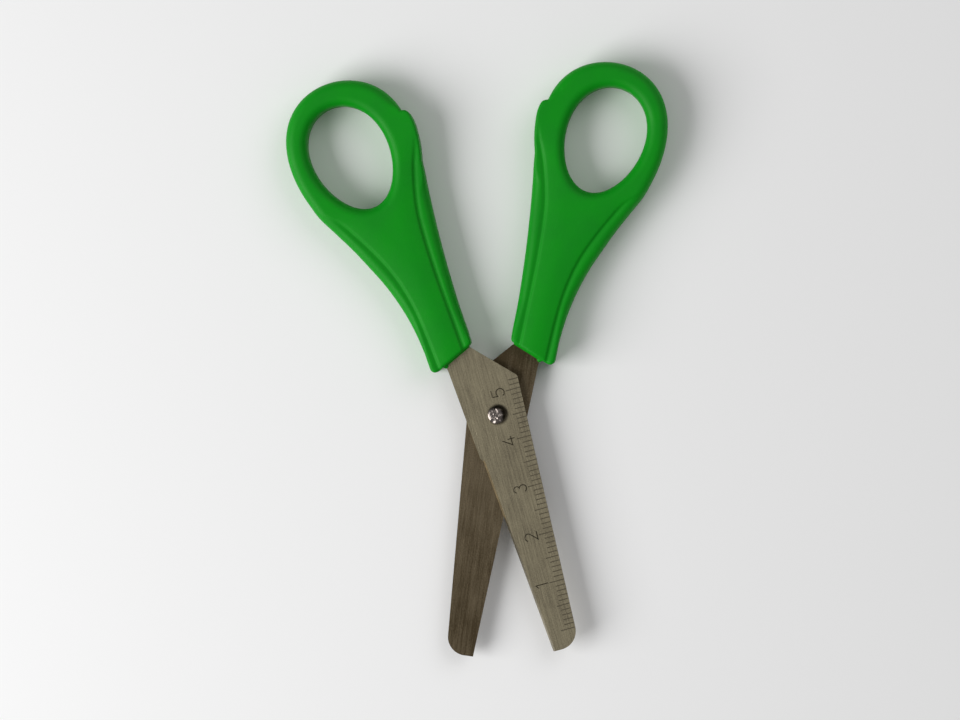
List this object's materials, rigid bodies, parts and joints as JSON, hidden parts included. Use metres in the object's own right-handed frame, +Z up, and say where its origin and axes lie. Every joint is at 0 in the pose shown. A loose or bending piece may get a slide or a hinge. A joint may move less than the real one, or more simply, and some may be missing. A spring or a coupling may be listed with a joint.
{
  "type": "school scissors",
  "caption": "Left-handed school scissors with blunt tips, a centimetre rule on one blade and green handles, hinged on a rivet.",
  "frame": {"origin": "on the surface the scissors lie on, under the centre of their bounding box at rest", "axes": "+Z up, square to the flat of the blades; +Y from the tips to the handles along the line halfway between the two halves; +X to the right as seen from above with the handles at the top"},
  "size_m": [0.0776, 0.1188, 0.008],
  "materials": {
    "front_steel": "brushed, lightly worn, with a stamped rule",
    "back_steel": "ground lengthwise",
    "handle_plastic": "moulded, soft sheen",
    "rivet_steel": "hammered dome"
  },
  "bodies": {
    "back_half": {"plain_blade": "back_steel", "plain_handle": "handle_plastic", "rivet": "rivet_steel"},
    "front_half": {"ruler_blade": "front_steel", "ruler_handle": "handle_plastic"}
  },
  "joints": [
    {"name": "pivot", "type": "hinge", "parent": "back_half", "child": "front_half", "pos_m": [0, -0.01058, 0.004], "axis": [0, 0, 1], "range_deg": [-23, 90]}
  ]
}
